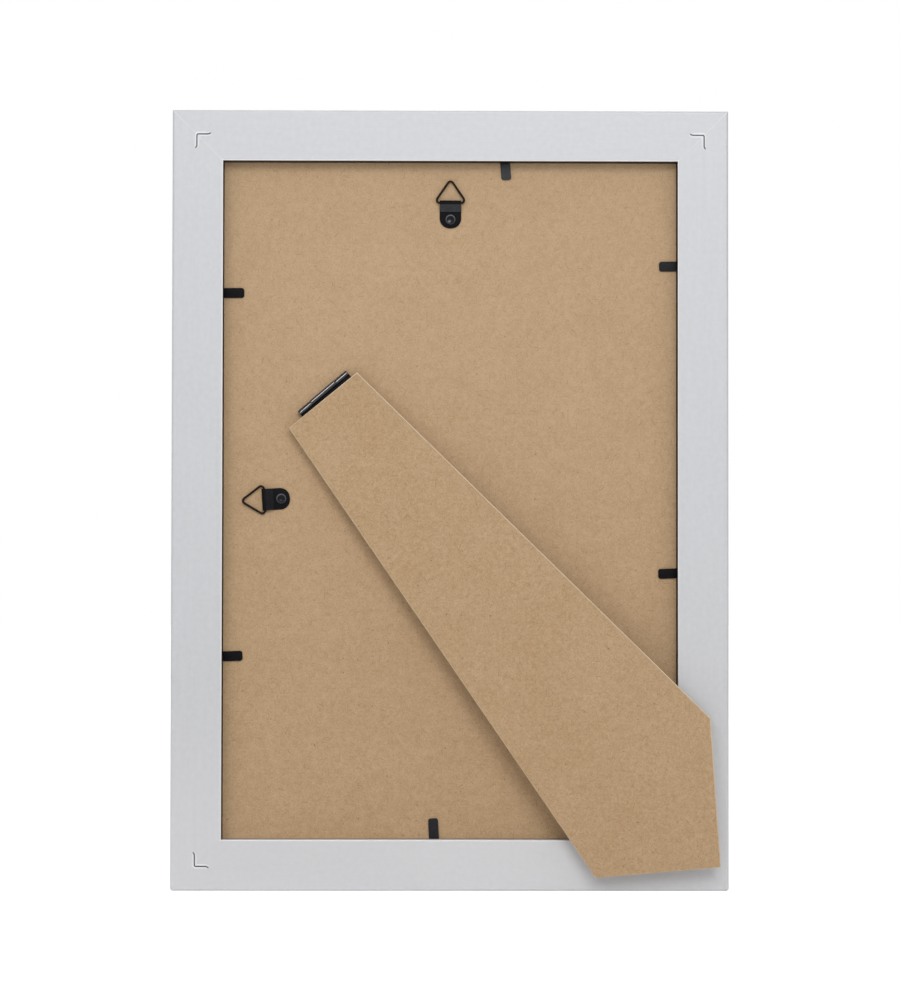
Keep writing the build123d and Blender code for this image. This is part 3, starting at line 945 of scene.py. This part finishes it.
# %% Rivet shape
rivet_from_bar = 7.45
dish = 1.65
rim = 2.3
rim_height = 0.22
dish_depth = 0.45
dish_middle = 0.08
dish_clear = 0.03
shank_radius = 1.8
clinch_radius = 2.2
clinch_top = -2.1
clinch_foot = -2.5
strap_top = 2 * strap_half_thickness
dish_floor = strap_top + dish_clear
dish_radius = np.linspace(dish_middle, dish, 12)[:-1]
dish_rise = dish_floor + dish_depth * (dish_radius / dish) ** 2
half_turn = np.linspace(np.pi, 0, 15)
rim_radius = (dish + rim) / 2 + (rim - dish) / 2 * np.cos(half_turn)
rim_rise = dish_floor + dish_depth + rim_height * np.sin(half_turn)
below_radius = [rim, shank_radius, shank_radius, clinch_radius, clinch_radius]
below_height = [strap_top, strap_top, clinch_top, clinch_top, clinch_foot]
rivet_radius = np.concatenate([dish_radius, rim_radius, below_radius])
rivet_height = np.concatenate([dish_rise, rim_rise, below_height])
rivet_turn = np.linspace(0, 2 * np.pi, 40, endpoint=False)
print("rivet rows", len(rivet_radius))

# %% Two hangers
# Painted highlights: on the flap, the rivet rim's upper side and a spot in the dish.
flap_sheen_strength = {"top": 0.72, "side": 0.15}
spot_highlight_strength = {"top": 1.0, "side": 0.0}
rim_highlight_base = 0.45
rim_highlight_top = 0.35
rim_highlight_width = 0.25
spot_left = 0.55
spot_height = -0.8
spot_size = 0.55
for where in ("top", "side"):
    hanger = "hanger_" + where
    place, axis, along = turning_place(where + "_ring")
    path = place + strap_line[:, :1] * along + strap_line[:, 1:] * back
    axis_rows = np.broadcast_to(axis, path.shape)
    rise_way = -np.sin(strap_heading)[:, None] * along + np.cos(strap_heading)[:, None] * back
    strap = carried(path, axis_rows, rise_way, strap_across, strap_rise)
    make_piece(
        where + "_strap", [strap], black_finish, "frame", [hanger + "_strap"],
        maps={"painted_highlight": flap_painted_sheen[:, None] * flap_sheen_strength[where]},
    )

    path = place + ring_line[:, :1] * along + ring_line[:, 1:] * axis
    across_way = -np.sin(ring_heading)[:, None] * along + np.cos(ring_heading)[:, None] * axis
    back_rows = np.broadcast_to(back, path.shape)
    wire = carried(path, across_way, back_rows, wire_across, wire_rise)
    make_piece(
        where + "_wire", [wire], wire_finish, where + "_ring", [hanger + "_ring"],
        closed_rows=True,
    )

    centre = place - along * rivet_from_bar - back * bar_height
    rows = centre + rivet_height[:, None] * back
    axis_rows = np.broadcast_to(axis, rows.shape)
    along_rows = np.broadcast_to(along, rows.shape)
    across = rivet_radius[:, None] * np.cos(rivet_turn)
    rise = rivet_radius[:, None] * np.sin(rivet_turn)
    eyelet = carried(rows, axis_rows, along_rows, across, rise)
    left = (eyelet - centre) @ side
    height = (eyelet - centre) @ up
    ring = np.hypot(left, height)
    on_rim = np.exp(-(((ring - (dish + rim) / 2) / rim_highlight_width) ** 2))
    on_spot = np.exp(-((left - spot_left) ** 2 + (height - spot_height) ** 2) / spot_size**2)
    rim_highlight = on_rim * (rim_highlight_base + rim_highlight_top * height / ring)
    painted_highlight = rim_highlight + on_spot * spot_highlight_strength[where]
    make_piece(
        where + "_eyelet", [eyelet], eyelet_finish, "frame", [hanger + "_rivet"],
        maps={"painted_highlight": painted_highlight.reshape(-1, 1)},
    )

# %% [markdown]
# ## The hinge
#
# A narrow gleam needs a smooth surface, and the solid hinge has flat facets. So each leaf is made
# again: a flat plate with round corners, and rolled knuckles on the pin. The board's leaf carries
# the two end knuckles, the strut's leaf the middle one. A rolled sheet is never quite round. Each
# knuckle is a circle with a little of its second wave, turned differently in the middle, so the
# gleam bends from one knuckle to the next.

# %% Knuckles and leaves
pin_place, pin_axis, pin_across = turning_place("strut")
knuckle_radius = 1.45
knuckle_end = 0.2
hinge_half = 14.0
middle_half = 7.0
knuckle_gap = 0.1
oval = 0.06
leaf_start = 1.4
leaf_half_thickness = 0.35
leaf_edge = 0.1
leaf_corner = 3.0
end_lean = 0.9
middle_lean = 2.6
board_leaf_reach = 18.0
strut_leaf_reach = 24.0
barrel_turn = np.linspace(0, 2 * np.pi, 64, endpoint=False)[None, :]


def knuckle(start, end, lean):
    """Tube along the pin: a circle plus its second wave, closed by quarter-round ends."""
    quarter = np.linspace(0, np.pi / 2, 6)
    lip = np.append(knuckle_end * (1 - np.cos(quarter)), knuckle_end + shade_guard)
    lip_inset = np.append(knuckle_end * (1 - np.sin(quarter)), 0.0)
    span = np.concatenate([start + lip, end - lip[::-1]])
    inset = np.concatenate([lip_inset, lip_inset[::-1]])
    radius = (knuckle_radius - inset)[:, None] * (1 + oval * np.cos(2 * (barrel_turn - lean)))
    across = radius * np.cos(barrel_turn)
    rise = radius * np.sin(barrel_turn)
    path = pin_place + span[:, None] * pin_axis
    across_rows = np.broadcast_to(pin_across, path.shape)
    back_rows = np.broadcast_to(back, path.shape)
    return carried(path, across_rows, back_rows, across, rise)


def leaf_plate(along, rise, level, reach):
    """Flat bar from the barrel outwards: half width shrinks by a quarter circle at the far edge."""
    straight = reach - leaf_corner
    rounding = straight + leaf_corner * np.sin(nose_turn[1:])
    run = np.concatenate([np.linspace(leaf_start, straight, 6), rounding])
    corner = np.clip((run - straight) / leaf_corner, 0, 1)
    wide = (hinge_half - leaf_corner * (1 - np.sqrt(1 - corner**2)))[:, None]
    across, height = bar_section(wide, leaf_half_thickness, leaf_edge)
    path = pin_place + run[:, None] * along + level * rise
    axis_rows = np.broadcast_to(pin_axis, path.shape)
    rise_rows = np.broadcast_to(rise, path.shape)
    return carried(path, axis_rows, rise_rows, across, height)


print("barrel", 2 * hinge_half, "mm long")

# %% Hinge pieces
leaf_level = knuckle_radius - leaf_half_thickness
end_knuckles = [
    knuckle(-hinge_half, -middle_half - knuckle_gap, end_lean),
    knuckle(middle_half + knuckle_gap, hinge_half, end_lean),
]
middle_knuckle = knuckle(-middle_half, middle_half, middle_lean)
board_leaf = leaf_plate(pin_across, back, -leaf_level, board_leaf_reach)
strut_across = np.cross(strut_up, pin_axis)
strut_leaf = leaf_plate(strut_across, strut_up, leaf_level, strut_leaf_reach)
make_piece("end_knuckles", end_knuckles, hinge_finish, "frame")
make_piece("middle_knuckle", [middle_knuckle], hinge_finish, "strut")
make_piece("board_leaf", [board_leaf], black_finish, "frame", ["hinge_board_leaf"])
make_piece("strut_leaf", [strut_leaf], black_finish, "strut", ["hinge_strut_leaf"])

# %% [markdown]
# ## Floor, light and camera
#
# The frame stands on a pale floor in a white room. The floor shines a little to the camera, so it
# reads as white while it still takes the shadow. The room gives an almost even light, and four
# lamps do the rest. The broad lamp faces the back and makes the soft shade under the top rail and
# beside the strut. A long narrow one, turned along the barrel, draws the gleam on the hinge. The
# other two light the top and the picture side.


# %% What the camera and mirrors see
def shown_as_backdrop(tree):
    """1 for rays that show the background: from the camera, a gloss or through glass."""
    paths = tree.nodes.new("ShaderNodeLightPath")
    camera_ray = Tone(paths.outputs["Is Camera Ray"])
    glossy_ray = Tone(paths.outputs["Is Glossy Ray"])
    return camera_ray + glossy_ray + Tone(paths.outputs["Is Transmission Ray"])


print("backdrop test ready")

# %% Floor
floor_size = 8.0
floor_glow = 0.82
floor_white = 1.25
floor_shade = 0.96
floor_mesh = bpy.data.meshes.new("floor")
floor_corners = np.array([[-1, -1, 0], [1, -1, 0], [1, 1, 0], [-1, 1, 0]]) * floor_size
floor_mesh.from_pydata(floor_corners.tolist(), [], [[0, 1, 2, 3]])
floor = bpy.data.objects.new("floor", floor_mesh)
bpy.context.collection.objects.link(floor)
floor_finish, shader, place = new_finish("pale_floor", Roughness=0.9, Specular_IOR_Level=0.0)
shader.inputs["Base Color"].default_value = (floor_shade, floor_shade, floor_shade, 1)
tree = floor_finish.node_tree
white = place.node("Emission", {}, {"Strength": floor_white})
glow = shown_as_backdrop(tree) * floor_glow
mixed = place.node("MixShader", {}, {0: glow, 1: Tone(shader.outputs[0]), 2: white})
tree.links.new(mixed.socket, tree.nodes["Material Output"].inputs["Surface"])
floor_mesh.materials.append(floor_finish)
print("floor", floor_size * 2, "m wide")

# %% World
room_low = 0.32
room_high = 0.42
dome_start = -0.3
dome_end = 0.6
world = bpy.data.worlds.new("white_room")
world.use_nodes = True
bpy.context.scene.world = world
background = world.node_tree.nodes["Background"]
background.inputs["Color"].default_value = (1, 1, 1, 1)
ways = Tone(world.node_tree.nodes.new("ShaderNodeTexCoord").outputs["Generated"])
height = ways.node("SeparateXYZ", {}, {0: ways}, 2)
dome = height.step(dome_start, dome_end) * (room_high - room_low) + room_low
shown = shown_as_backdrop(world.node_tree)
strength = dome + shown * (1 - dome)
world.node_tree.links.new(strength.socket, background.inputs["Strength"])
print("room light from", room_low, "to", room_high)

# %% Lamps
look_at = np.array([0.0, 0.0, 0.173])


def aimed(place, target, roll=0.0):
    """Matrix of an object at a place that looks along its own -Z at a target."""
    away = (place - target) / np.linalg.norm(place - target)
    right = np.cross(up, away) / np.linalg.norm(np.cross(up, away))
    over = np.cross(away, right)
    turned_right = np.cos(roll) * right + np.sin(roll) * over
    turned_over = np.cos(roll) * over - np.sin(roll) * right
    columns = np.stack([turned_right, turned_over, away, place], axis=1)
    return Matrix(np.vstack([columns, [0, 0, 0, 1]]).tolist())


for name, wide, tall, turn, energy, place in (
    ("broad_lamp", 1.05, 1.05, 0.0, 11.8, (-0.26, 1.78, 0.9)),
    ("gleam_lamp", 0.12, 1.1, 0.83, 6.2, (1.0, 1.94, 1.21)),
    ("top_lamp", 1.2, 0.5, 0.0, 3.0, (0.0, 0.25, 1.67)),
    ("front_lamp", 1.6, 1.6, 0.0, 16.0, (0.5, -2.1, 1.3)),
):
    lamp_data = bpy.data.lights.new(name, "AREA")
    lamp_data.shape = "ELLIPSE"
    lamp_data.size = wide
    lamp_data.size_y = tall
    lamp_data.energy = energy
    lamp = bpy.data.objects.new(name, lamp_data)
    bpy.context.collection.objects.link(lamp)
    lamp.matrix_world = aimed(look_at + np.array(place), look_at, turn)
    print(name, energy, "W")

# %% Camera
camera_distance = 1.4
camera_azimuth = np.radians(0.579)
camera_elevation = np.radians(-1.459)
camera_roll = np.radians(0.085)
focal_pixels = 3141.8
image_height = 1000
sensor_height = 24.0
away = np.array([
    np.sin(camera_azimuth) * np.cos(camera_elevation),
    np.cos(camera_azimuth) * np.cos(camera_elevation),
    np.sin(camera_elevation),
])
camera_data = bpy.data.cameras.new("camera")
camera_data.sensor_fit = "VERTICAL"
camera_data.sensor_height = sensor_height
camera_data.lens = focal_pixels / image_height * sensor_height
camera = bpy.data.objects.new("camera", camera_data)
bpy.context.collection.objects.link(camera)
camera.matrix_world = aimed(look_at + camera_distance * away, look_at, camera_roll)
bpy.context.scene.camera = camera
bpy.context.scene.view_settings.view_transform = "Standard"
print("lens", round(camera_data.lens, 2), "mm")
